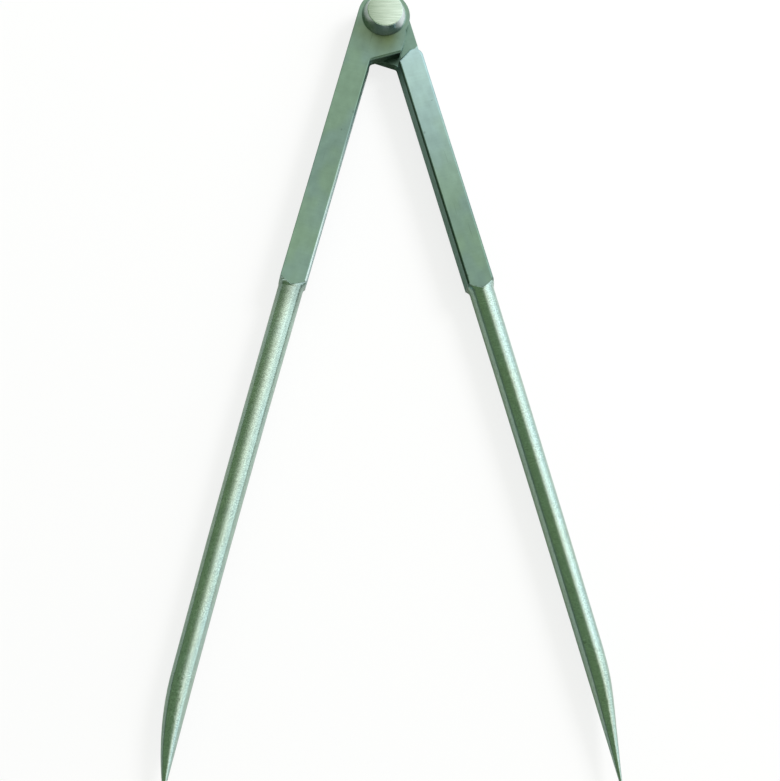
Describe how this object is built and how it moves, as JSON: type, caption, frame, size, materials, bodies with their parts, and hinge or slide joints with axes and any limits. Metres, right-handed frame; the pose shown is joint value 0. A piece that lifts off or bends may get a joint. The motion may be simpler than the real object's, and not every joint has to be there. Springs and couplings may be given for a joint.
{
  "type": "hinged divider",
  "caption": "Steel divider for stepping off distances, its square-topped round legs crossing in a firm riveted half-lap hinge and ending in ground points.",
  "frame": {"origin": "Middle of the rear washer's resting face, on the hinge axis.", "axes": "+Z along the hinge axis towards the rivet's front head; -Y towards the points, halfway between the legs at rest; +X towards the right leg, whose lap lies behind."},
  "size_m": [0.133, 0.2496, 0.0143],
  "materials": {
    "ground_steel": "fine ground, slightly grey-green, with cross grinding lines",
    "rivet_steel": "bright fine brushed"
  },
  "bodies": {
    "left_arm": {"left_leg": "ground_steel", "hinge_rivet": "rivet_steel", "rear_washer": "rivet_steel"},
    "right_arm": {"right_leg": "ground_steel"}
  },
  "joints": [
    {"name": "leg_hinge", "type": "hinge", "parent": "left_arm", "child": "right_arm", "pos_m": [0, 0, 0.006], "axis": [0, 0, 1], "range_deg": [-30.4, 149]}
  ]
}
